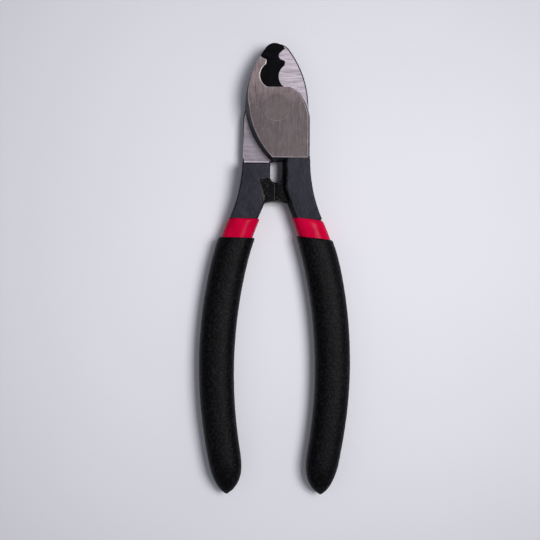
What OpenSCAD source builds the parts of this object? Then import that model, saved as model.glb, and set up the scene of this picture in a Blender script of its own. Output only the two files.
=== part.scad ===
// Hand cable cutter: two identical forged halves lapped on a flush rivet, each with a
// two-layer sleeve on its tang. Millimetres. The tool lies flat: +Y towards the jaws,
// +Z up, the pivot axis on X = Y = 0, and the lower ground face on Z = 0.

/* [Overall] */
// Pivot axis to the end of the jaws
jaw_reach = 24.15; // [20:0.05:29]
// Pivot axis to the ends of the grips
grip_reach = 141.35; // [117:0.05:170]
// Thickness across both lapped jaws
head_t = 12; // [10:0.2:14.4]
// Half of the distance between the grips' middles at their widest
grip_spread = 21.3; // [18:0.1:26]

/* [Jaws] */
// Half width of the head on its jaw side, at the shear plane
jaw_half_w = 11.75; // [9.8:0.05:14.1]
// Half width of the head on its handle side, at the shear plane
heel_half_w = 12.35; // [11:0.05:14.8]
// How far the bevel runs back from the cutting edge over the jaw's thickness
bevel_run = 6.9; // [5:0.1:8]
// How far the bevel drops towards the pivot over the jaw's thickness
bevel_drop = 0.4; // [0:0.05:0.8]
// Radius of the large cable notch
notch_r = 4.8; // [4:0.05:5.4]
// Radius of the small wire notch
wire_notch_r = 1.5; // [1:0.05:1.8]
// Draft of the jaw's outer wall near the tip
tip_draft = 0.5; // [0.2:0.05:0.8]
// Draft of the jaw's outer wall beside the pivot
side_draft = 1.8; // [0.8:0.05:2.2]
// Draft of the shoulder and of the handle-side wall
heel_draft = 0.9; // [0.4:0.05:1.4]
// Pivot axis to the lower end of the lap
lap_reach = 19.55; // [18:0.05:22]
// Lower end of the lap to the lower edge of the ground face
face_gap = 1.6; // [0.8:0.1:2.4]

/* [Pivot] */
// Rivet shank diameter
rivet_d = 7; // [5:0.1:8.4]
// Rivet head diameter at the ground faces
rivet_head_d = 9.8; // [9:0.1:11.8]
// Depth of the countersunk rivet head
rivet_head_t = 1.6; // [1:0.1:2.5]
// Radial clearance between the rivet and the half that turns on it
rivet_fit = 0.04; // [0.02:0.01:0.1]
// Radial clearance between the rivet and the half it is set in
rivet_set = 0.01; // [0:0.01:0.02]
// Gap between the two sliding shear faces
shear_gap = 0.04; // [0.02:0.01:0.1]

/* [Shanks] */
// How far the coated shank lies below the ground face, on each side
shank_drop = 0.5; // [0.2:0.1:1]
// Thickness of the shank where the sleeve starts
neck_t = 7.8; // [6.6:0.1:9]
// Width of the slot between the shanks
slot_w = 4.4; // [3.6:0.1:5.2]
// Radius of the shank's outer curve
shank_r = 53.5; // [44:0.5:67]
// Width of the forging draft inside the shank, on its ground-face side
shank_draft = 1.55; // [0.5:0.05:1.9]
// Depth of that draft
shank_draft_t = 3.6; // [2:0.1:4.5]
// Thickness of the stop lugs
lug_t = 5.6; // [4.6:0.1:7.4]
// How far the shank's ground-face side starts to slope down to its lug, from the seam
dip_near = 3.6; // [3:0.1:4.2]
// The same on its other side
dip_far = 6.1; // [4.4:0.1:7]
// Length of the stop lugs along the seam
lug_len = 6.8; // [5.6:0.1:8.2]
// Pivot axis to the bottom of the slot above the lugs
lug_start = 27.05; // [26:0.05:28]
// Gap between the two lugs when the jaws are shut
lug_gap = 0.1; // [0.04:0.02:0.3]

/* [Grips] */
// Pivot axis to the mouth of the inner sleeve
sleeve_start = 40.15; // [38:0.05:43]
// Length of the inner sleeve that shows above the outer grip
band = 7; // [4:0.5:12]
// Width of a grip at its upper end
grip_w = 13.5; // [10.8:0.1:16]
// Width that a grip loses on the way down to its tip
grip_taper = 1.1; // [0.5:0.1:3]
// Length over which the grip narrows to its tip
tip_len = 14.2; // [10:0.1:17]
// How far the tip leans out of the grip's bow, away from the other grip
tip_flare = 2.5; // [0:0.1:4]
// How far the grip's mouth leans in towards the shank
mouth_lean = 0.7; // [0:0.1:1.4]
// Wall of the outer grip at its sides
grip_wall = 0.95; // [0.7:0.05:1.3]
// Wall of the outer grip above and below
grip_wall_z = 1.0; // [0.8:0.05:1.3]
// Wall of the inner sleeve at the tang's edges
sleeve_wall = 0.85; // [0.7:0.05:1.2]
// Wall of the inner sleeve above and below the tang
sleeve_wall_z = 1.8; // [1.5:0.05:2.4]
// Thickness of the tang inside the sleeve
tang_t = 6.4; // [5:0.1:7.4]
// Chamfer along the tang's edges
tang_chamfer = 1.2; // [1:0.1:1.8]
// Clearance between the nested tang, sleeve and grip
sleeve_fit = 0.03; // [0.02:0.01:0.05]

/* [Hidden] */
coat = [0.16, 0.16, 0.18];
ground = [0.42, 0.39, 0.4];
red = [0.72, 0.02, 0.16];
black = [0.05, 0.05, 0.06];
over = 1;                                   // how far a cutter runs past the metal it cuts
far = 60;                                   // well outside the tool
mid = head_t / 2;                           // height of the shear plane
shear_z = mid + shear_gap / 2;              // height of the upper half's shear face
shank_t = head_t - 2 * shank_drop;
step_y = -lap_reach - 0.3;                  // the shank's step stands clear of the other lap
face_end_y = -lap_reach + face_gap;
slot_edge = slot_w / 2;

function arc(c, r, a0, a1, n) =
    [for (i = [0:n]) c + r * [cos(a0 + (a1 - a0) * i / n), sin(a0 + (a1 - a0) * i / n)]];
function reversed(list) = [for (i = [len(list) - 1:-1:0]) list[i]];
function blend(a, b, u) = a + (b - a) * u;

// Walls and ends between two outlines of as many points, the last of which sees all the others
module between(low, high, z0, z1) {
    n = len(low);
    points = concat([for (p = low) [p.x, p.y, z0]], [for (p = high) [p.x, p.y, z1]]);
    walls = [for (i = [0:n - 1], half = [0, 1]) let (j = (i + 1) % n)
        half == 0 ? [i, i + n, j] : [j, i + n, j + n]];
    low_end = [for (i = [0:n - 1]) (i + n - 1) % n];
    high_end = [for (i = [n - 1:-1:0]) i + n];
    polyhedron(points, concat(walls, [low_end, high_end]));
}

// ---- Lapped jaw: its outline at the shear plane, and the same at the ground face ----
tip_r = 4.7;
tip_c = [-0.6, jaw_reach - tip_r];
back_y = 0.45;                              // the head is widest here
reach = jaw_half_w + tip_c.x;
rise = tip_c.y - back_y;
back_r = (reach * reach + rise * rise - tip_r * tip_r) / (2 * (reach - tip_r));
back_c = [back_r - jaw_half_w, back_y];
join_a = atan2(rise, tip_c.x - back_c.x);   // where the back runs into the rounded tip
belly_r = 32.4;
belly_c = [belly_r - jaw_half_w - 0.25, 4.55];
belly_a = 187.5;
heel_r = 18.9;
heel_c = [heel_half_w - heel_r + 0.15, -5.65];
throat_y = 0.332 * jaw_reach;
heel_corner = [[7.3, -1.0], [6.4, -0.35], [5.5, -0.03], [5, 1.5]];   // round into the throat

function draft_at(u) = blend(tip_draft, side_draft, pow(u, 4));
function back_ring(on_face) = [for (i = [0:10]) let (u = i / 10, a = blend(join_a, 180, u),
    r = back_r - (on_face ? draft_at(u) : 0)) back_c + r * [cos(a), sin(a)]];
function belly_ring(on_face, end_y) = let (
    inset = on_face ? [side_draft, side_draft * 0.58] : [0, 0],
    end_a = 180 + asin((belly_c.y - end_y) / (belly_r - inset[1])))
    [for (i = [0:9]) let (a = blend(belly_a, end_a, i / 9), r = belly_r - blend(inset[0], inset[1], i / 9))
        belly_c + r * [cos(a), sin(a)]];
function heel_ring(inset, end_y) = concat(
    [[heel_half_w - inset, end_y]],
    arc(heel_c, heel_r - inset, 8, 40, 7),
    [for (p = heel_corner) [p.x - inset * 0.8, throat_y + p.y - inset * 0.5]]);
function jaw_ring(on_face) = concat(
    heel_ring(on_face ? heel_draft : 0, on_face ? face_end_y : -lap_reach),
    arc(tip_c, tip_r - (on_face ? tip_draft : 0), 41, join_a - 4, 9),
    back_ring(on_face),
    belly_ring(on_face, on_face ? face_end_y : -lap_reach));

// ---- Cutting bevel: all that lies on the open side of the edge, leaning back with height ----
notch_left = 0.65;                          // both notches come this close to the middle
notch_c = [notch_left + notch_r, 0.506 * jaw_reach];
wire_c = [notch_left + wire_notch_r, 0.82 * jaw_reach];
tooth_c = [2.4, 0.724 * jaw_reach];
tooth_r = 0.6;
edge_top = [3.0, 0.937 * jaw_reach];
edge_slope = [6, 5.8];                      // the edge's line, carried on past the tip
edge = concat(
    [[far, throat_y], [3.6, throat_y]],
    reversed(arc(notch_c, notch_r, 123.5, 238, 14)),
    arc(tooth_c, tooth_r, 0, 75, 4),
    reversed(arc(wire_c, wire_notch_r, 130, 250, 7)),
    [edge_top, edge_top + edge_slope, [far, edge_top.y + edge_slope.y]]);

module bevel_cut() {
    lean = [-bevel_run, -bevel_drop] / (head_t - shear_z);
    translate([0, 0, mid])
        multmatrix([[1, 0, lean.x, 0], [0, 1, lean.y, 0], [0, 0, 1, 0]])
            translate([0, 0, -over])
                linear_extrude(mid + 2 * over) polygon(edge);
}

// ---- Shank, stop lug and the dip between them ----
bend_y = -18.65;                            // the shank's outer side curves away below this
split_y = -29.65;                           // the shank's inner side leans away below this
inner_slope = 0.42;
full_y = -26.15;                            // the shank is at its full thickness down to here
shank_end = -sleeve_start + 0.05;
draft_top = face_end_y + 5;                 // the draft runs out under the lap
draft_end = shank_end - over;

function outer_x(y) = heel_half_w + shank_r - sqrt(shank_r * shank_r - pow(min(0, y - bend_y), 2));
function inner_x(y) = slot_edge + inner_slope * max(0, split_y - y);
shank_outline = concat(
    [[slot_edge, face_end_y + 0.4], [heel_half_w, face_end_y + 0.4]],
    [for (i = [0:9]) let (y = blend(bend_y, shank_end, i / 9)) [outer_x(y), y]],
    [[inner_x(shank_end), shank_end], [inner_x(split_y), split_y]]);

module shank() {
    low_z = mid - shank_t / 2;
    high_z = mid + shank_t / 2;
    stretch = 1.3;                          // the draft's cutter runs on past the shank's face
    lean = shank_draft * stretch;
    difference() {
        intersection() {
            translate([0, 0, low_z]) linear_extrude(shank_t) polygon(shank_outline);
            rotate([90, 0, 90]) linear_extrude(far) polygon([
                [face_end_y + over, low_z], [face_end_y + over, high_z], [full_y, high_z],
                [shank_end - over, mid + neck_t / 2], [shank_end - over, mid - neck_t / 2],
                [full_y, low_z]]);
        }
        // room for the other jaw under the lap
        translate([0, step_y, -over]) cube([far, far, over + shear_z]);
        // forging draft down the inner side
        translate([0, 0, high_z - shank_draft_t]) between(
            [[inner_x(draft_end), draft_end], [slot_edge, split_y], [slot_edge, draft_top],
                [-over, draft_top], [-over, draft_end]],
            [[inner_x(draft_end) + lean, draft_end], [slot_edge + lean, split_y + over],
                [slot_edge + lean, draft_top], [-over, draft_top], [-over, draft_end]],
            0, shank_draft_t * stretch);
    }
}

slot_end = [0, slot_edge - lug_start];      // middle of the slot's round end
lug_end = -lug_start - lug_len;
lug_root = 7;                               // the lug is rooted this far inside the shank
lug_web = [[4.3, -0.7], [2, -0.1], [0, 0]]; // its lower edge sweeps down into the shank
lug_outline = concat(
    arc(slot_end, slot_edge, 270, 360, 8),
    [[lug_root, slot_end.y], [lug_root + 1, lug_end + 1], [inner_x(lug_end - 1.8), lug_end - 1.4]],
    [for (p = lug_web) [p.x, lug_end + p.y]]);

module lug() {
    intersection() {
        translate([0, 0, mid - lug_t / 2]) linear_extrude(lug_t) polygon(lug_outline);
        translate([lug_gap / 2, -far, 0]) cube([far, far, head_t]);
    }
}

// the shank's face slopes down to the lug; side is 1 for the upper face and -1 for the lower
module lug_dip(side, reach) {
    drop = (shank_t - lug_t) / 2;
    translate([0, lug_end - over, mid + side * lug_t / 2])
        rotate([0, -side * atan2(drop, reach), 0])
            translate([-far, 0, side > 0 ? 0 : -far])
                cube([far + norm([drop, reach]), lug_len + 2 * over, far]);
}

// ---- Bowed path and sections shared by the tang, the sleeve and the grip ----
bow_r = 170;
bow_y = -94.75;
flare_len = 20.2;                           // the tip leans out over this length
mouth_y = -sleeve_start;
grip_y = mouth_y - band;
lean_len = 17;                              // the mouth leans in over this length
widen_y = grip_y - 2;                       // the grip is widest down to here
tip_y = -grip_reach + tip_len;
sleeve_end = -grip_reach + 7;               // closed end of the inner sleeve
sleeve_tip_y = sleeve_end + 4;
tang_end = sleeve_end + 3.4;
roundness = 2.4;                            // exponent of the oval sections
rows = 22;

function lean_out(y) = tip_flare * pow(max(0, (-grip_reach + flare_len - y) / flare_len), 3);
function lean_in(y) = mouth_lean * pow(max(0, (y - mouth_y + lean_len) / lean_len), 2);
function path_x(y) = grip_spread - bow_r + sqrt(bow_r * bow_r - pow(y - bow_y, 2))
    + lean_out(y) - lean_in(y);
function taper(y) = grip_taper / 2 * pow(max(0, (widen_y - y) / (widen_y - tip_y)), 1.5);
function narrowed(y, start, length) = pow(1 - pow(min(1, max(0, start - y) / length), 2.5), 0.7);
function grip_hw(y) = grip_w / 2 - taper(y);
function grip_ht(y) = tang_t / 2 + sleeve_wall_z + grip_wall_z - 0.6 * taper(y);
function sleeve_hw(y) = grip_hw(y) - grip_wall;
function sleeve_ht(y) = grip_ht(y) - grip_wall_z;
function tang_hw(y) = sleeve_hw(y) - sleeve_wall;

// eight-sided tang section, its sides split so that the rounder rings can follow it
splits = [2, 7, 2, 3, 2, 7, 2, 3];
function octagon(w, t, c) = [[w, t - c], [w - c, t], [c - w, t], [-w, t - c],
    [-w, c - t], [c - w, -t], [w - c, -t], [w, c - t]];
function split_octagon(w, t, c) = let (o = octagon(w, t, c))
    [for (k = [0:7], j = [0:splits[k] - 1]) blend(o[k], o[(k + 1) % 8], j / splits[k])];
function oval_point(p, w, t) =
    p / pow(pow(abs(p.x) / w, roundness) + pow(abs(p.y) / t, roundness), 1 / roundness);
function oval(y, w, t) = placed(
    [for (p = split_octagon(tang_hw(y), tang_t / 2, tang_chamfer)) oval_point(p, w, t)], y);
function placed(ring, y) = [for (p = ring) [path_x(y) + p.x, y, mid + p.y]];
function stations(y0, y1, n) = [for (i = [0:n]) blend(y0, y1, i / n)];

function tang_hole(y) = placed(split_octagon(tang_hw(y) + sleeve_fit, tang_t / 2 + sleeve_fit,
    tang_chamfer + sleeve_fit / 2), y);
function sleeve_ring(y, fit) = let (s = narrowed(y, sleeve_tip_y, sleeve_tip_y - sleeve_end + 1))
    oval(y, (sleeve_hw(y) + fit) * s, (sleeve_ht(y) + fit) * s);
function grip_ring(y) = let (s = narrowed(y, tip_y, tip_len)) oval(y, grip_hw(y) * s, grip_ht(y) * s);

// closed skin over a run of rings that all have the same number of points
module skin(rings) {
    n = len(rings[0]);
    last = len(rings) - 1;
    sides = [for (k = [0:last - 1], i = [0:n - 1], half = [0, 1])
        let (a = k * n + i, b = k * n + (i + 1) % n)
            half == 0 ? [a, b, a + n] : [b, b + n, a + n]];
    ends = [[for (i = [n - 1:-1:0]) i], [for (i = [0:n - 1]) last * n + i]];
    polyhedron([for (r = rings, p = r) p], concat(sides, ends));
}

module tang() {
    skin([for (y = stations(tang_end, mouth_y + over, rows))
        placed(octagon(tang_hw(y), tang_t / 2, tang_chamfer), y)]);
}

// each sleeve is one skin: up the outside, round the mouth and down the inside
end_ys = [for (i = [0:3]) blend(sleeve_end, sleeve_tip_y, i / 4)];
module sleeve() {
    skin(concat(
        [for (y = concat(end_ys, stations(sleeve_tip_y, mouth_y, rows))) sleeve_ring(y, 0)],
        [for (y = stations(mouth_y, tang_end - 0.2, rows)) tang_hole(y)],
        [oval(tang_end - 1, tang_hw(tang_end) * 0.6, tang_t * 0.3)]));
}

module grip() {
    nose = [for (u = [0.005, 0.02, 0.05, 0.1, 0.18, 0.28, 0.4, 0.55, 0.75]) blend(-grip_reach, tip_y, u)];
    skin(concat(
        [for (y = concat(nose, stations(tip_y, grip_y, rows))) grip_ring(y)],
        [for (y = concat(stations(grip_y, sleeve_tip_y, rows), reversed(end_ys))) sleeve_ring(y, sleeve_fit)],
        [[for (q = sleeve_ring(sleeve_end, sleeve_fit)) q - [0, sleeve_fit, 0]]]));
}

// ---- Rivet, and the forged half it passes through ----
module rivet_shape(fit, extra) {
    head_r = rivet_head_d / 2 + fit;
    pin_r = rivet_d / 2 + fit;
    rotate_extrude($fn = 64) polygon([
        [0, -extra], [head_r, -extra], [head_r, 0], [pin_r, rivet_head_t],
        [pin_r, head_t - rivet_head_t], [head_r, head_t], [head_r, head_t + extra],
        [0, head_t + extra]]);
}

module half(fit) {
    difference() {
        union() {
            between(jaw_ring(false), jaw_ring(true), shear_z, head_t);
            difference() {
                shank();
                lug_dip(1, dip_near);
                lug_dip(-1, dip_far);
            }
            lug();
            tang();
        }
        bevel_cut();
        rivet_shape(fit, over);
    }
}

module turned_over() {
    translate([0, 0, head_t]) rotate([0, 180, 0]) children();
}

module front_half() { color(coat) half(rivet_fit); }
module rear_half() { color(coat) turned_over() half(rivet_set); }
module pivot_rivet() { color(ground) rivet_shape(0, 0); }
module front_sleeve() { color(red) sleeve(); }
module rear_sleeve() { color(red) turned_over() sleeve(); }
module front_grip() { color(black) grip(); }
module rear_grip() { color(black) turned_over() grip(); }

rear_half();
front_half();
pivot_rivet();
rear_sleeve();
front_sleeve();
rear_grip();
front_grip();
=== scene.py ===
"""A hand cable cutter: two forged halves on a flush rivet, with two-layer sleeves on the handles."""

import logging
import math
from dataclasses import dataclass, field
from enum import Enum
from typing import Sequence

import bmesh
import bpy
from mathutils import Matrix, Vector, noise
from mathutils.bvhtree import BVHTree


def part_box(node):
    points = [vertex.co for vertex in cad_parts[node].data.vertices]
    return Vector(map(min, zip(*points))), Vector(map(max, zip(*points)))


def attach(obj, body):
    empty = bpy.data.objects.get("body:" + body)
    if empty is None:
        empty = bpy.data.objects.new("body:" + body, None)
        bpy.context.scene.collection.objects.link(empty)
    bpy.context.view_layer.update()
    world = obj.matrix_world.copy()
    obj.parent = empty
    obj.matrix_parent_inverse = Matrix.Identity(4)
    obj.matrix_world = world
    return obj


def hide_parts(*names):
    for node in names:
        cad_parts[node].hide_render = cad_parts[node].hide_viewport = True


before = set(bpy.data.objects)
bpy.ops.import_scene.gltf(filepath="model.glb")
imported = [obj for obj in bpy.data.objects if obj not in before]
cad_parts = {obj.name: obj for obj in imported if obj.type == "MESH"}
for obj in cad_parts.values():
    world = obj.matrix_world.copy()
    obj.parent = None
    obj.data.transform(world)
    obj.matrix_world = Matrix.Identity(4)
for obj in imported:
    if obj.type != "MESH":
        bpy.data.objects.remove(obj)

MM = 0.001
ORIGIN = Vector((0.0, 0.0, 0.0))
LOG = logging.getLogger("cable_cutter")
Triple = tuple[float, float, float]
Span = tuple[float, float]


class Side(Enum):
    """Which of the two forgings a piece belongs to; the value is its CAD body."""

    FRONT = "front"
    REAR = "rear"

    @property
    def turn(self) -> float:
        """Returns 1 for the front half, or -1 for the half turned over about the Y axis."""
        return 1.0 if self is Side.FRONT else -1.0


class Skin(Enum):
    """Material places on a forged half, in slot order."""

    COAT = 0
    GROUND = 1
    SHEAR = 2
    BEVEL = 3
    # Darker coat for the lugs, their dips and the shanks' inward walls: painted shade.
    INNER = 4
    # Near-black strip round the shear faces: painted shade on the rounded edge.
    RIM = 5
    # Pale strip along the ground faces' edges: painted highlight.
    WORN = 6
    # Near-black strip on the shanks' broken edges: painted shade.
    BREAK = 7


# ---------------------------------------------------------------- shader building


class Shader:
    """Builds one node material, with every texture laid out in millimetres."""

    NOISE_SPAN: Span = (0.3, 0.7)
    MIX_AMOUNT, MIX_FIRST, MIX_SECOND, MIX_RESULT = 0, 6, 7, 2

    def __init__(self, name: str) -> None:
        """Starts an empty material.

        Args:
            name: the material's name.
        """
        self.material = bpy.data.materials.new(name)
        self.material.use_nodes = True
        self.tree = self.material.node_tree
        self.bsdf = next(n for n in self.tree.nodes if n.type == "BSDF_PRINCIPLED")
        self.place = self.tree.nodes.new("ShaderNodeTexCoord").outputs["Object"]

    def feed(self, socket: bpy.types.NodeSocket, value: object) -> None:
        """Links or sets one input socket.

        Args:
            socket: the input.
            value: another node's output, or a constant.
        """
        if isinstance(value, bpy.types.NodeSocket):
            self.tree.links.new(value, socket)
        elif isinstance(value, tuple) and len(value) == 3 and socket.type == "RGBA":
            socket.default_value = (*value, 1.0)
        else:
            socket.default_value = value

    def math(self, kind: str, a: object, b: object = 0.0) -> bpy.types.NodeSocket:
        """Adds a math node.

        Args:
            kind: the operation's name.
            a: first value.
            b: second value.

        Returns:
            The node's output.
        """
        node = self.tree.nodes.new("ShaderNodeMath")
        node.operation = kind
        self.feed(node.inputs[0], a)
        self.feed(node.inputs[1], b)
        return node.outputs[0]

    def weigh(self, *terms: tuple[object, float]) -> bpy.types.NodeSocket:
        """Adds up values, each times its weight.

        Args:
            terms: pairs of value and weight.

        Returns:
            The sum.
        """
        total = self.math("MULTIPLY", *terms[0])
        for value, weight in terms[1:]:
            total = self.math("ADD", total, self.math("MULTIPLY", value, weight))
        return total

    def stretched(self, scale: Triple) -> bpy.types.NodeSocket:
        """Returns the place in millimetres, times a scale for each axis.

        Args:
            scale: cells per millimetre along X, Y and Z.
        """
        node = self.tree.nodes.new("ShaderNodeMapping")
        self.feed(node.inputs["Vector"], self.place)
        node.inputs["Scale"].default_value = tuple(s / MM for s in scale)
        return node.outputs[0]

    def noise(self, scale: Triple, detail: float = 3.0, rough: float = 0.55) -> bpy.types.NodeSocket:
        """Returns a noise value from about 0.2 to 0.8.

        Args:
            scale: cells per millimetre along X, Y and Z.
            detail: octaves.
            rough: how strong the finer octaves are.
        """
        node = self.tree.nodes.new("ShaderNodeTexNoise")
        self.feed(node.inputs["Vector"], self.stretched(scale))
        node.inputs["Scale"].default_value = 1.0
        node.inputs["Detail"].default_value = detail
        node.inputs["Roughness"].default_value = rough
        return node.outputs["Fac"]

    def cells(self, scale: Triple) -> bpy.types.NodeSocket:
        """Returns the distance to the nearest cell centre.

        Args:
            scale: cells per millimetre along X, Y and Z.
        """
        node = self.tree.nodes.new("ShaderNodeTexVoronoi")
        self.feed(node.inputs["Vector"], self.stretched(scale))
        node.inputs["Scale"].default_value = 1.0
        return node.outputs["Distance"]

    def step(self, value: object, low: float, high: float, out: Span = (0.0, 1.0)) -> bpy.types.NodeSocket:
        """Returns value brought from the range low-high into the range out, held at its ends.

        Args:
            value: the input.
            low: input at the start of the ramp.
            high: input at its end.
            out: the two outputs.
        """
        node = self.tree.nodes.new("ShaderNodeMapRange")
        self.feed(node.inputs["Value"], value)
        for name, number in zip(("From Min", "From Max", "To Min", "To Max"), (low, high, *out)):
            node.inputs[name].default_value = number
        return node.outputs["Result"]

    def vary(self, texture: object, low: float, high: float) -> bpy.types.NodeSocket:
        """Returns a noise texture's middle spread over the range low-high.

        Args:
            texture: the noise.
            low: output where it is weakest.
            high: output where it is strongest.
        """
        return self.step(texture, *self.NOISE_SPAN, (low, high))

    def mix(self, amount: object, a: object, b: object) -> bpy.types.NodeSocket:
        """Returns colour a blended towards colour b.

        Args:
            amount: 0 for a, 1 for b.
            a: first colour.
            b: second colour.
        """
        node = self.tree.nodes.new("ShaderNodeMix")
        node.data_type = "RGBA"
        self.feed(node.inputs[self.MIX_AMOUNT], amount)
        self.feed(node.inputs[self.MIX_FIRST], a)
        self.feed(node.inputs[self.MIX_SECOND], b)
        return node.outputs[self.MIX_RESULT]

    def axis(self, index: int) -> bpy.types.NodeSocket:
        """Returns one coordinate of the place, in millimetres.

        Args:
            index: 0, 1 or 2 for X, Y or Z.
        """
        node = self.tree.nodes.new("ShaderNodeSeparateXYZ")
        self.feed(node.inputs[0], self.stretched(even(1.0)))
        return node.outputs[index]

    def bump(self, height: object, depth_mm: float, below: object = None) -> bpy.types.NodeSocket:
        """Returns a bumped normal.

        Args:
            height: 0 to 1.
            depth_mm: how deep 1 is.
            below: another bump's output to add to.
        """
        node = self.tree.nodes.new("ShaderNodeBump")
        node.inputs["Distance"].default_value = depth_mm * MM
        self.feed(node.inputs["Height"], height)
        if below is not None:
            self.feed(node.inputs["Normal"], below)
        return node.outputs[0]

    def done(self, **values: object) -> bpy.types.Material:
        """Sets the surface's inputs.

        Args:
            values: input names with spaces written as underscores.

        Returns:
            The finished material.
        """
        for name, value in values.items():
            self.feed(self.bsdf.inputs[name.replace("_", " ")], value)
        return self.material


def even(cells: float) -> Triple:
    """Returns a texture scale that is the same along each axis.

    Args:
        cells: cells per millimetre.
    """
    return (cells, cells, cells)


def paler(colour: Triple, times: float, most: float = 0.8) -> Triple:
    """Returns a lighter colour.

    Args:
        colour: the colour.
        times: how many times lighter.
        most: the highest value allowed.
    """
    return tuple(min(most, c * times) for c in colour)


@dataclass(frozen=True)
class GrinderMarks:
    """The lines and clouds that a surface grinder leaves, in cells per millimetre."""

    across: float = 4.6
    along: float = 0.2
    mottle_cells: Triple = (0.5, 0.36, 0.5)
    depth_mm: float = 0.014

    def stroke(self, across: float, along: float, along_y: bool) -> Triple:
        """Returns a texture scale drawn out along one axis.

        Args:
            across: cells across the stroke.
            along: cells along it.
            along_y: True when the stroke runs along Y, False along X.
        """
        return (across, along, across) if along_y else (along, across, across)

    def lines(self, shader: Shader, along_y: bool) -> bpy.types.NodeSocket:
        """Returns the fine lines.

        Args:
            shader: the material being built.
            along_y: True when the stroke runs along Y.
        """
        return shader.noise(self.stroke(self.across, self.along, along_y), detail=4.0, rough=0.75)

    def mottle(self, shader: Shader) -> bpy.types.NodeSocket:
        """Returns the clouds under the lines.

        Args:
            shader: the material being built.
        """
        return shader.noise(self.mottle_cells, detail=5.0, rough=0.65)


@dataclass(frozen=True)
class GroundSteel:
    """Bare steel from the surface grinder, with grain along one axis."""

    name: str
    light: Triple
    dark: Triple
    along_y: bool
    metallic: float = 0.1
    roughness: float = 0.42
    rough_swing: Span = (-0.07, 0.09)
    tone_span: Span = (0.42, 0.62)
    line_span: Span = (0.35, 0.6)
    bright: float = 2.2
    fillet_highlight_y: float | None = None
    brighter_from_y: float | None = None
    brighter_rise: Span = (2.0, 11.0)
    brighter_most: float = 0.8
    brighter_wander: float = 9.0
    fillet_highlight_soft: float = 0.05
    band_across: float = 1.1
    band_along: float = 0.06
    nick_cells: Triple = (0.3, 0.24, 0.3)
    nick_edge: Span = (0.035, 0.06)
    nick_strength: float = 0.5
    marks: GrinderMarks = GrinderMarks()

    def build(self) -> bpy.types.Material:
        """Returns the material."""
        s = Shader(self.name)
        lines = self.marks.lines(s, self.along_y)
        broad = self.marks.stroke(self.band_across, self.band_along, self.along_y)
        bands = s.noise(broad, detail=2.0, rough=0.5)
        mottle = self.marks.mottle(s)
        tone = s.weigh((lines, 0.55), (bands, 0.2), (mottle, 0.3))
        colour = s.mix(s.step(tone, *self.tone_span), self.dark, self.light)
        pale = paler(self.light, self.bright)
        # Paler streaks towards +Y above the given height; on the shear face this leaves its lower part
        # darker: painted shade.
        if self.brighter_from_y is not None:
            low, high = (self.brighter_from_y + rise for rise in self.brighter_rise)
            height = s.math("ADD", s.axis(1), s.math("MULTIPLY", mottle, self.brighter_wander))
            brighter_streaks = s.step(height, low, high, (0.0, self.brighter_most))
            colour = s.mix(s.math("MULTIPLY", brighter_streaks, s.step(lines, *self.line_span)), colour, pale)
        nick = s.step(s.cells(self.nick_cells), *self.nick_edge, (self.nick_strength, 0.0))
        colour = s.mix(nick, colour, pale)
        # A pale band below the given height: a painted highlight where the fillet at the foot of the shoulder
        # catches the light.
        if self.fillet_highlight_y is not None:
            above, below = self.fillet_highlight_y + self.fillet_highlight_soft, self.fillet_highlight_y - self.fillet_highlight_soft
            colour = s.mix(s.step(s.axis(1), above, below), colour, pale)
        return s.done(
            Base_Color=colour,
            Metallic=self.metallic,
            Roughness=s.vary(lines, *(self.roughness + swing for swing in self.rough_swing)),
            Specular_IOR_Level=0.3,
            Normal=s.bump(lines, self.marks.depth_mm),
        )


@dataclass(frozen=True)
class CoatedSteel:
    """Black coating over a forged surface, thin enough to show the forging's grain."""

    name: str
    colour: Triple
    sheen_colour: Triple
    roughness: float = 0.42
    depth_mm: float = 0.035
    shine: float = 0.3
    chip_and_glint: float = 0.5
    chip_and_glint_from: float = 0.7
    chip_and_glint_soft: float = 0.025
    rough_swing: Span = (-0.06, 0.1)
    tone_span: Span = (0.35, 0.68)
    bare_and_glint: Triple = (0.2, 0.195, 0.21)
    skin_cells: float = 2.6
    chip_and_glint_cells: float = 1.7
    forged_cells: Triple = (0.32, 0.22, 0.32)
    streak_cells: Triple = (3.2, 0.5, 3.2)
    forged_depth: float = 4.0

    def build(self) -> bpy.types.Material:
        """Returns the material."""
        s = Shader(self.name)
        skin = s.noise(even(self.skin_cells), detail=4.0, rough=0.6)
        forged = s.noise(self.forged_cells, detail=3.0, rough=0.5)
        streak = s.noise(self.streak_cells, detail=3.0, rough=0.6)
        tone = s.weigh((streak, 0.55), (forged, 0.45))
        colour = s.mix(s.step(tone, *self.tone_span), self.colour, self.sheen_colour)
        # Pale flecks: chips worn through the coat, and on the darker coat of the lugs and inward walls,
        # painted glints.
        flecks = s.noise(even(self.chip_and_glint_cells), detail=5.0, rough=0.72)
        chips_and_glints = s.step(flecks, self.chip_and_glint_from, self.chip_and_glint_from + self.chip_and_glint_soft, (0.0, self.chip_and_glint))
        return s.done(
            Base_Color=s.mix(chips_and_glints, colour, self.bare_and_glint),
            Metallic=0.0,
            Roughness=s.vary(forged, *(self.roughness + swing for swing in self.rough_swing)),
            Specular_IOR_Level=self.shine,
            Normal=s.bump(skin, self.depth_mm, s.bump(forged, self.depth_mm * self.forged_depth)),
        )


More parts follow.
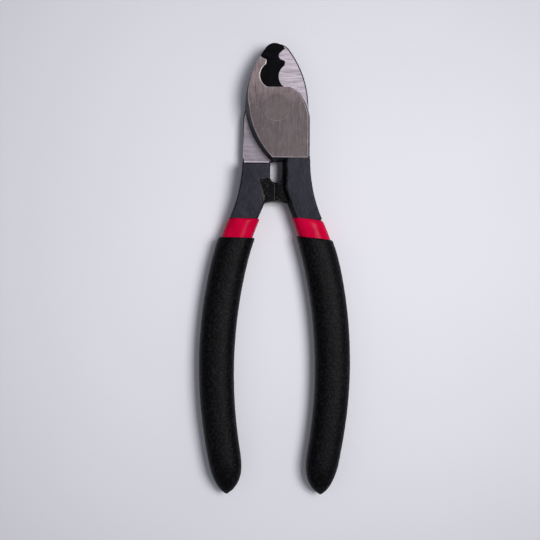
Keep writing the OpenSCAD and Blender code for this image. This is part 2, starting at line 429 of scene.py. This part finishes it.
@dataclass(frozen=True)
class GlossSleeve:
    """Smooth glossy moulded plastic."""

    name: str
    colour: Triple
    deep: Triple
    roughness: Span = (0.17, 0.25)
    cloud_cells: Triple = (0.3, 0.16, 0.3)
    ripple_cells: Triple = (0.8, 0.35, 0.8)
    ripple_mm: float = 0.05

    def build(self) -> bpy.types.Material:
        """Returns the material."""
        s = Shader(self.name)
        cloud = s.noise(self.cloud_cells, detail=3.0, rough=0.5)
        ripple = s.noise(self.ripple_cells, detail=2.0, rough=0.5)
        return s.done(
            Base_Color=s.mix(s.vary(cloud, 0.0, 1.0), self.deep, self.colour),
            Roughness=s.vary(ripple, *self.roughness),
            Specular_IOR_Level=0.03,
            Normal=s.bump(ripple, self.ripple_mm),
        )


@dataclass(frozen=True)
class FoamGrip:
    """Matt foamed skin with fine pits, and pale specks on the raised lumps as painted glints."""

    name: str
    colour: Triple
    raised_glint: Triple
    roughness: Span = (0.42, 0.54)
    tone_span: Span = (0.5, 0.78)
    pit_cells: float = 1.2
    fine_cells: float = 1.3
    cloud_cells: Triple = (0.16, 0.1, 0.16)
    fine_mm: float = 0.13
    pit_mm: float = 0.08

    def build(self) -> bpy.types.Material:
        """Returns the material."""
        s = Shader(self.name)
        pits = s.cells(even(self.pit_cells))
        fine = s.noise(even(self.fine_cells), detail=4.0, rough=0.75)
        cloud = s.noise(self.cloud_cells, detail=3.0, rough=0.5)
        # The raised lumps are paler: painted glints.
        glint_lumps = s.weigh((pits, 0.55), (fine, 0.6))
        tone = s.weigh((glint_lumps, 0.85), (cloud, 0.12))
        return s.done(
            Base_Color=s.mix(s.step(tone, *self.tone_span), self.colour, self.raised_glint),
            Roughness=s.vary(fine, *self.roughness),
            Specular_IOR_Level=0.08,
            Normal=s.bump(fine, self.fine_mm, s.bump(pits, self.pit_mm)),
        )


@dataclass(frozen=True)
class RivetSteel:
    """A rivet's ground end, with a painted highlight: a fine bright line low down on its rim."""

    name: str
    light: Triple
    dark: Triple
    rim_mm: float
    line: Span = (0.2, 0.08)
    highlight_height: Span = (0.5, -3.5)
    highlight_strength: Span = (0.12, 0.6)
    tone_span: Span = (0.38, 0.66)
    bright: float = 2.0
    roughness: Span = (0.35, 0.51)
    marks: GrinderMarks = GrinderMarks()

    def build(self) -> bpy.types.Material:
        """Returns the material."""
        s = Shader(self.name)
        lines = self.marks.lines(s, along_y=True)
        tone = s.weigh((lines, 0.62), (self.marks.mottle(s), 0.4))
        colour = s.mix(s.step(tone, *self.tone_span), self.dark, self.light)
        x, y = s.axis(0), s.axis(1)
        radius = s.math("SQRT", s.math("ADD", s.math("MULTIPLY", x, x), s.math("MULTIPLY", y, y)))
        # Painted highlight: a bright line just inside the rim, strongest on the lower arc.
        rim = s.step(radius, *(self.rim_mm - inside for inside in self.line))
        low = s.step(y, *self.highlight_height, self.highlight_strength)
        return s.done(
            Base_Color=s.mix(s.math("MULTIPLY", rim, low), colour, paler(self.light, self.bright)),
            Metallic=0.1,
            Roughness=s.vary(lines, *self.roughness),
            Specular_IOR_Level=0.3,
            Normal=s.bump(lines, self.marks.depth_mm),
        )


@dataclass(frozen=True)
class PaperFloor:
    """Plain pale paper."""

    name: str
    colour: Triple
    roughness: float = 0.9
    cloud_times: float = 1.03
    cloud_cells: float = 0.01
    fibre_cells: float = 1.1
    fibre_mm: float = 0.02

    def build(self) -> bpy.types.Material:
        """Returns the material."""
        s = Shader(self.name)
        cloud = s.noise(even(self.cloud_cells), detail=2.0, rough=0.5)
        fibre = s.noise(even(self.fibre_cells), detail=3.0, rough=0.6)
        light = paler(self.colour, self.cloud_times, most=1.0)
        colour = s.mix(s.vary(cloud, 0.0, 1.0), self.colour, light)
        return s.done(Base_Color=colour, Roughness=self.roughness, Normal=s.bump(fibre, self.fibre_mm))


def forging_finishes(light: Triple, dark: Triple) -> list[bpy.types.Material]:
    """Makes every finish of a forged half.

    Args:
        light: the ground face's lighter tone.
        dark: its darker tone.

    Returns:
        The materials in slot order.
    """
    finishes = {
        Skin.COAT: CoatedSteel(
            "black coat", (0.0085, 0.0088, 0.0135), (0.033, 0.0325, 0.049), shine=0.1, chip_and_glint_from=0.655),
        Skin.GROUND: GroundSteel("ground face", light, dark, along_y=True, brighter_from_y=3.0),
        # Shear face: paler streaks towards the jaw leave its lower part darker as painted shade, and a pale
        # band at its foot is a painted highlight.
        Skin.SHEAR: GroundSteel(
            "shear face", (0.312, 0.272, 0.318), (0.19, 0.165, 0.197), along_y=False,
            fillet_highlight_y=-19.15, brighter_from_y=-6.0),
        Skin.BEVEL: CoatedSteel(
            "coated bevel", (0.001, 0.001, 0.0013), (0.005, 0.0045, 0.006),
            roughness=0.5, depth_mm=0.05, shine=0.05),
        # Lugs, dips and inward walls: a darker copy of the coat as painted shade; its pale flecks are painted
        # glints.
        Skin.INNER: CoatedSteel(
            "coat with painted shade", (0.0006, 0.0006, 0.0008), (0.006, 0.006, 0.007),
            roughness=0.5, depth_mm=0.012, shine=0.04, chip_and_glint=0.5, chip_and_glint_from=0.615),
        # Strip round the shear faces: near-black, painted shade.
        Skin.RIM: CoatedSteel(
            "rim with painted shade", (0.002, 0.002, 0.0025), (0.007, 0.007, 0.009),
            roughness=0.4, depth_mm=0.02, shine=0.1, chip_and_glint=0.1),
        # Strip along the ground faces' edges: pale, a painted highlight.
        Skin.WORN: GroundSteel(
            "edge with painted highlight", (0.52, 0.47, 0.475), (0.28, 0.245, 0.25), along_y=True,
            metallic=0.3, roughness=0.35),
        # Strip on the shanks' broken edges: near-black, painted shade, with pale flecks.
        Skin.BREAK: CoatedSteel(
            "edge with painted shade", (0.001, 0.001, 0.0015), (0.006, 0.006, 0.009),
            roughness=0.4, depth_mm=0.03, shine=0.16, chip_and_glint=0.85, chip_and_glint_from=0.61),
    }
    return [finishes[skin].build() for skin in Skin]


# ---------------------------------------------------------------- pieces


def piece_from(bm: bmesh.types.BMesh, name: str, materials: Sequence[bpy.types.Material]) -> bpy.types.Object:
    """Makes an object from a finished mesh.

    Args:
        bm: the mesh, freed here.
        name: the object's name.
        materials: its material slots in order.

    Returns:
        The new object, linked to the scene.
    """
    mesh = bpy.data.meshes.new(name)
    bm.to_mesh(mesh)
    bm.free()
    obj = bpy.data.objects.new(name, mesh)
    bpy.context.scene.collection.objects.link(obj)
    for material in materials:
        mesh.materials.append(material)
    return obj


@dataclass
class Outline:
    """The outer shape of a sleeve-like CAD node, measured across the handle station by station."""

    node: str
    clear: float = 10 * MM
    low: Vector = field(init=False)
    high: Vector = field(init=False)
    tree: BVHTree = field(init=False)

    def __post_init__(self) -> None:
        """Reads the node's box and mesh."""
        low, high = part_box(self.node)
        self.low, self.high = Vector(low), Vector(high)
        bm = bmesh.new()
        bm.from_mesh(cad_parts[self.node].data)
        self.tree = BVHTree.FromBMesh(bm)
        bm.free()

    def hit(self, start: Vector, way: Vector) -> Vector:
        """Returns the first point of the node that a straight probe meets.

        Args:
            start: a point outside the node.
            way: the probe's direction.
        """
        point = self.tree.ray_cast(start, way)[0]
        return point if point is not None else start

    def across(self, y: float) -> tuple[float, float, float, float]:
        """Returns the section's middle X, middle Z, half width and half thickness.

        Args:
            y: the station.
        """
        mid_z = (self.low.z + self.high.z) / 2
        left = self.hit(Vector((self.low.x - self.clear, y, mid_z)), Vector((1, 0, 0))).x
        right = self.hit(Vector((self.high.x + self.clear, y, mid_z)), Vector((-1, 0, 0))).x
        mid_x = (left + right) / 2
        top = self.hit(Vector((mid_x, y, self.high.z + self.clear)), Vector((0, 0, -1))).z
        return mid_x, mid_z, (right - left) / 2, top - mid_z


@dataclass(frozen=True)
class Pebble:
    """The small lumps of a foamed skin, with cells per millimetre."""

    height: float
    fine_cells: float = 1.15
    coarse_cells: float = 0.35
    fine_share: float = 0.6
    coarse_share: float = 0.4
    settle: float = 0.35
    falloff: float = 0.8
    spacing: float = 2.1
    octaves: int = 3

    def at(self, point: Vector) -> float:
        """Returns how far the skin stands out at a point.

        Args:
            point: the point.
        """
        place = point / MM
        fine = noise.fractal(place * self.fine_cells, self.falloff, self.spacing, self.octaves)
        lump = fine * self.fine_share + noise.noise(place * self.coarse_cells) * self.coarse_share
        return self.height * (lump - self.settle)


@dataclass
class SleevePiece:
    """One sleeve on a handle: a swept oval skin with a rolled mouth and a closed lower end.

    The mouth's rings are pairs: how many walls inward, and how many lips down from the rim.
    """

    name: str
    node: str
    side: Side
    slot: str
    material: bpy.types.Material
    around: int
    pitch: float
    wall: float = 0.85 * MM
    lip: float = 0.9 * MM
    roundness: float = 2.4
    pebble: Pebble | None = None
    tilt: float = 0.0
    tilt_reach: float = 12 * MM
    smoothing: int = 6
    inset: float = 0.03 * MM
    fewest: int = 12
    thinnest: float = 0.05 * MM
    pinch: float = 0.12
    pinch_lips: float = 0.9
    skin_lips: float = 0.3
    mouth: tuple[Span, ...] = ((1.0, 1.4), (1.0, 0.25), (0.92, 0.06), (0.7, 0.0), (0.42, 0.02), (0.2, 0.12))

    def sections(self) -> list[tuple[float, float, float, float, float]]:
        """Returns (y, middle X, middle Z, half width, half thickness) from the mouth down, evened out."""
        outline = Outline(self.node)
        top, bottom = outline.high.y - self.inset, outline.low.y + self.inset
        count = max(self.fewest, round((top - bottom) / self.pitch))
        ys = [top + (bottom - top) * i / count for i in range(count + 1)]
        rows = [outline.across(y) for y in ys]
        for _ in range(self.smoothing):
            rows = [rows[0]] + [
                tuple((a + 2 * b + c) / 4 for a, b, c in zip(rows[i - 1], rows[i], rows[i + 1]))
                for i in range(1, len(rows) - 1)
            ] + [rows[-1]]
        return [(y, *row) for y, row in zip(ys, rows)]

    def oval(self, mid_x: float, y: float, mid_z: float, half_w: float, half_t: float) -> list[Vector]:
        """Returns one ring of points.

        Args:
            mid_x: middle of the section.
            y: its station.
            mid_z: its middle height.
            half_w: half its width.
            half_t: half its thickness.
        """
        power = 2.0 / self.roundness
        ring = []
        for i in range(self.around):
            a = 2 * math.pi * i / self.around
            c, s = math.cos(a), math.sin(a)
            ring.append(Vector((
                mid_x + half_w * math.copysign(abs(c) ** power, c),
                y,
                mid_z + half_t * math.copysign(abs(s) ** power, s),
            )))
        return ring

    def rings(self) -> list[list[Vector]]:
        """Returns the rings from inside the mouth, over its rim and down to the closed end."""
        rows = self.sections()
        y0, x0, z0, w0, t0 = rows[0]
        rings = [
            self.oval(x0, y0 - drop * self.lip, z0, w0 - depth * self.wall, t0 - depth * self.wall)
            for depth, drop in self.mouth
        ]
        for y, x, z, w, t in rows:
            if y < y0 - self.skin_lips * self.lip:
                near = max(0.0, 1 - (y0 - y) / (self.pinch_lips * self.lip))
                sink = near ** 2 * self.pinch * self.wall
                rings.append(self.oval(x, y, z, max(w - sink, self.thinnest), max(t - sink, self.thinnest)))
        for ring in rings:
            for point in ring:
                fade = max(0.0, 1 - (y0 - point.y) / self.tilt_reach) ** 2
                point.y -= self.tilt * (point.x - x0) * fade
        return rings

    def build(self) -> bpy.types.Object:
        """Returns the finished piece, riding on its body."""
        bm = bmesh.new()
        grid = [[bm.verts.new(p) for p in ring] for ring in self.rings()]
        for upper, lower in zip(grid, grid[1:]):
            for i in range(self.around):
                j = (i + 1) % self.around
                bm.faces.new((upper[i], upper[j], lower[j], lower[i]))
        bm.faces.new(grid[-1])
        bm.normal_update()
        if self.pebble is not None:
            for vert in bm.verts:
                vert.co += vert.normal * self.pebble.at(vert.co)
        for face in bm.faces:
            face.smooth = True
        bmesh.ops.recalc_face_normals(bm, faces=bm.faces)
        obj = piece_from(bm, self.name, [self.material])
        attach(obj, self.side.value)
        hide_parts(self.node)
        LOG.info("%s: %d points", self.name, len(obj.data.vertices))
        return obj


@dataclass(frozen=True)
class EdgeStrip:
    """A narrow strip that replaces each sharp edge of one kind."""

    skin: Skin
    width: float
    steps: int


@dataclass(frozen=True)
class Zones:
    """Where the finishes of a forging begin and end, in millimetres on the front half.

    Slopes are parts of a face's unit normal, and angles are in degrees.
    """

    flat: float = 0.99
    face_band: float = 0.05
    shear_band: float = 0.1
    shear_end: float = -21.0
    bevel_start: float = 5.0
    bevel_slope: float = 0.3
    lug_side: float = 6.5
    lug_span: Span = (-37.0, -26.0)
    lug_half_t: float = 5.45
    inward_slope: float = -0.25
    inner_span: Span = (-41.0, -17.0)
    least_turn: float = 22.0
    least_length: float = 0.15
    rivet_clear: float = 5.2
    sleeve_edge: float = -40.0
    shank_top: float = -18.5
    broad: float = 0.9


@dataclass
class ForgedHalf:
    """One forging: jaw, lap, shank, stop lug and tang, with its edges broken as in the real one."""

    node: str
    side: Side
    materials: Sequence[bpy.types.Material]
    thickness: float
    zones: Zones = Zones()
    # Edge strips: near-black ones with painted shade on the shanks and round the shear faces, and a pale one
    # with a painted highlight along the ground faces.
    strips: tuple[EdgeStrip, ...] = (
        EdgeStrip(Skin.BREAK, 0.55 * MM, 3),
        EdgeStrip(Skin.RIM, 0.5 * MM, 2),
        EdgeStrip(Skin.WORN, 0.18 * MM, 1),
    )
    weld: float = 0.002 * MM
    flatten: float = math.radians(1.0)
    crease: float = math.radians(38.0)
    face_weight: int = 60

    @property
    def top(self) -> float:
        """Returns the height of the ground face, in millimetres."""
        return self.thickness / MM

    @property
    def mid(self) -> float:
        """Returns the height of the shear plane, in millimetres."""
        return self.top / 2

    def own(self, point: Vector) -> Vector:
        """Returns a point as it lies on the front half, in millimetres, whichever half this is.

        Args:
            point: a point in the row frame.
        """
        if self.side is Side.FRONT:
            return point / MM
        return Vector((-point.x, point.y, self.thickness - point.z)) / MM

    def skin_of(self, face: bmesh.types.BMFace) -> Skin:
        """Returns which finish a face has.

        Args:
            face: the face.
        """
        z = self.zones
        at = self.own(face.calc_center_median())
        up = face.normal.z * self.side.turn
        inward = face.normal.x * self.side.turn
        off_shear = abs(at.z - self.mid)
        if up > z.flat and at.z > self.top - z.face_band:
            return Skin.GROUND
        if up < -z.flat and off_shear < z.shear_band and at.y > z.shear_end:
            return Skin.SHEAR
        if at.y > z.bevel_start and up > z.bevel_slope and at.z < self.top - z.face_band:
            return Skin.BEVEL
        # Lugs, their dips and the inward walls take the darker coat: painted shade.
        if at.x < z.lug_side and z.lug_span[0] < at.y < z.lug_span[1] and off_shear < z.lug_half_t:
            return Skin.INNER
        if inward < z.inward_slope and z.inner_span[0] < at.y < z.inner_span[1]:
            return Skin.INNER
        return Skin.COAT

    def group_of(self, edge: bmesh.types.BMEdge) -> Skin | None:
        """Returns the strip that an edge is broken into, or None if it stays as it is.

        Args:
            edge: the edge.
        """
        z = self.zones
        if len(edge.link_faces) != 2 or edge.calc_face_angle_signed(0.0) < math.radians(z.least_turn):
            return None
        if edge.calc_length() < z.least_length * MM:
            return None
        skins = {Skin(f.material_index) for f in edge.link_faces}
        a, b = (self.own(v.co) for v in edge.verts)
        at = (a + b) / 2
        if math.hypot(at.x, at.y) < z.rivet_clear or at.y < z.sleeve_edge:
            return None
        if Skin.GROUND in skins:
            return Skin.WORN
        if Skin.SHEAR in skins:
            return None if Skin.BEVEL in skins else Skin.RIM
        flattest = max(abs(f.normal.z) for f in edge.link_faces)
        if at.y > z.shank_top or flattest < z.broad or not skins <= {Skin.COAT, Skin.INNER}:
            return None
        return Skin.BREAK

    def build(self) -> bpy.types.Object:
        """Returns the finished piece, riding on its body."""
        bm = bmesh.new()
        bm.from_mesh(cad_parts[self.node].data)
        bmesh.ops.remove_doubles(bm, verts=bm.verts, dist=self.weld)
        bmesh.ops.dissolve_limit(bm, angle_limit=self.flatten, verts=bm.verts, edges=bm.edges)
        bm.normal_update()
        for face in bm.faces:
            face.material_index = self.skin_of(face).value
        for strip in self.strips:
            self.break_edges(bm, strip)
        for face in bm.faces:
            face.smooth = True
        for edge in bm.edges:
            edge.smooth = edge.calc_face_angle(0.0) < self.crease
        obj = piece_from(bm, f"{self.node}_forging", self.materials)
        weighted = obj.modifiers.new("flat faces stay flat", "WEIGHTED_NORMAL")
        weighted.keep_sharp = True
        weighted.weight = self.face_weight
        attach(obj, self.side.value)
        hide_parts(self.node)
        LOG.info("%s: %d faces", obj.name, len(obj.data.polygons))
        return obj

    def break_edges(self, bm: bmesh.types.BMesh, strip: EdgeStrip) -> None:
        """Turns each edge of one kind into its strip.

        Args:
            bm: the mesh to change.
            strip: the kind of edge.
        """
        bmesh.ops.bevel(
            bm,
            geom=[e for e in bm.edges if self.group_of(e) is strip.skin],
            offset=strip.width,
            offset_type="OFFSET",
            segments=strip.steps,
            profile=0.5,
            affect="EDGES",
            clamp_overlap=False,
            material=strip.skin.value,
        )
        bm.normal_update()


# ---------------------------------------------------------------- studio


@dataclass(frozen=True)
class Lamp:
    """A square soft light; its place and aim are measured from the middle of the object."""

    name: str
    place: Vector
    aim: Vector
    size: float
    power: float
    colour: Triple
    spread: float

    def build(self, centre: Vector) -> None:
        """Adds the light.

        Args:
            centre: the middle of the object.
        """
        data = bpy.data.lights.new(self.name, "AREA")
        data.spread = math.radians(self.spread)
        data.shape = "SQUARE"
        data.size, data.energy, data.color = self.size, self.power, self.colour
        obj = bpy.data.objects.new(self.name, data)
        obj.location = centre + self.place
        obj.rotation_euler = (self.aim - self.place).to_track_quat("-Z", "Y").to_euler()
        bpy.context.scene.collection.objects.link(obj)


@dataclass
class Studio:
    """Pale paper, a soft light from the right, a weak one from the left, and a camera straight above."""

    mid_height: float
    floor: bpy.types.Material
    middle: Span = (-0.00194, -0.05898)
    field_width: float = 0.19845
    distance: float = 0.5
    roll: float = 0.0087
    sensor: float = 36.0
    near: float = 0.01
    floor_half: float = 1.6
    floor_height: float = -0.02 * MM
    room_colour: Triple = (0.9, 0.92, 1.0)
    room_strength: float = 0.23
    lamps: tuple[Lamp, ...] = (
        Lamp(
            "key", Vector((0.28, 0.06, 0.66)), Vector((0.018, 0.012, 0.0)),
            size=0.3, power=0.4, colour=(1.0, 0.99, 0.98), spread=46.0),
        Lamp(
            "fill", Vector((-0.5, -0.3, 0.85)), ORIGIN,
            size=0.9, power=0.5, colour=(0.94, 0.96, 1.0), spread=180.0),
    )

    @property
    def centre(self) -> Vector:
        """Returns the middle of the object."""
        return Vector((*self.middle, self.mid_height))

    def build(self) -> None:
        """Adds the floor, the lights, the surroundings and the camera."""
        self.add_floor()
        for lamp in self.lamps:
            lamp.build(self.centre)
        world = bpy.data.worlds.new("room")
        world.use_nodes = True
        back = world.node_tree.nodes["Background"]
        back.inputs["Color"].default_value = (*self.room_colour, 1.0)
        back.inputs["Strength"].default_value = self.room_strength
        bpy.context.scene.world = world
        bpy.context.scene.view_settings.view_transform = "Standard"
        self.add_camera()

    def add_floor(self) -> None:
        """Adds a wide sheet just under the object."""
        half = self.floor_half
        outline = [(-half, -half), (half, -half), (half, half), (-half, half)]
        bm = bmesh.new()
        bm.faces.new([bm.verts.new((x, y, self.floor_height)) for x, y in outline])
        piece_from(bm, "paper", [self.floor])

    def add_camera(self) -> None:
        """Adds the camera and makes it the scene's own."""
        data = bpy.data.cameras.new("above")
        data.sensor_width = self.sensor
        data.lens = data.sensor_width * self.distance / self.field_width
        data.clip_start = self.near
        obj = bpy.data.objects.new("above", data)
        obj.location = self.centre + Vector((0, 0, self.distance))
        obj.rotation_euler = (0.0, 0.0, self.roll)
        bpy.context.scene.collection.objects.link(obj)
        bpy.context.scene.camera = obj


# ---------------------------------------------------------------- the whole tool

MOUTH_TILT = {Side.REAR: 0.02, Side.FRONT: 0.11}


@dataclass
class Handle:
    """One side of the tool: its forging with the inner sleeve and the outer grip on it."""

    side: Side
    skins: Sequence[bpy.types.Material]
    red: bpy.types.Material
    foam: bpy.types.Material
    thickness: float
    tilt: float

    def build(self) -> None:
        """Adds the three pieces."""
        side = self.side
        ForgedHalf(f"{side.value}_half", side, self.skins, self.thickness).build()
        SleevePiece(
            f"{side.value}_inner_sleeve", f"{side.value}_sleeve", side, "red_sleeve", self.red,
            around=64, pitch=0.8 * MM, tilt=self.tilt).build()
        SleevePiece(
            f"{side.value}_outer_grip", f"{side.value}_grip", side, "black_grip", self.foam,
            around=120, pitch=0.42 * MM, tilt=self.tilt, pebble=Pebble(0.07 * MM)).build()


def main() -> None:
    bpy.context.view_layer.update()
    low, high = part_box("pivot_rivet")
    thickness = high[2] - low[2]
    skins = forging_finishes((0.131, 0.099, 0.106), (0.061, 0.046, 0.05))
    red = GlossSleeve("red sleeve", (0.57, 0.0012, 0.04), (0.46, 0.0005, 0.028)).build()
    # The grip's second colour is the painted glint on its raised lumps.
    foam = FoamGrip("black grip", (0.0001, 0.0001, 0.0003), (0.007, 0.0066, 0.0098)).build()
    for side, tilt in MOUTH_TILT.items():
        Handle(side, skins, red, foam, thickness, tilt).build()
    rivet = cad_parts["pivot_rivet"]
    finish = RivetSteel("rivet end", (0.145, 0.111, 0.118), (0.073, 0.056, 0.06), high[0] / MM).build()
    for place in rivet.material_slots:
        place.material = finish
    LOG.info("rivet: finish set on %d slots", len(rivet.material_slots))
    Studio(thickness / 2, PaperFloor("paper", (0.74, 0.74, 0.8)).build()).build()


if __name__ == "__main__":
    logging.basicConfig(level=logging.INFO)
    main()
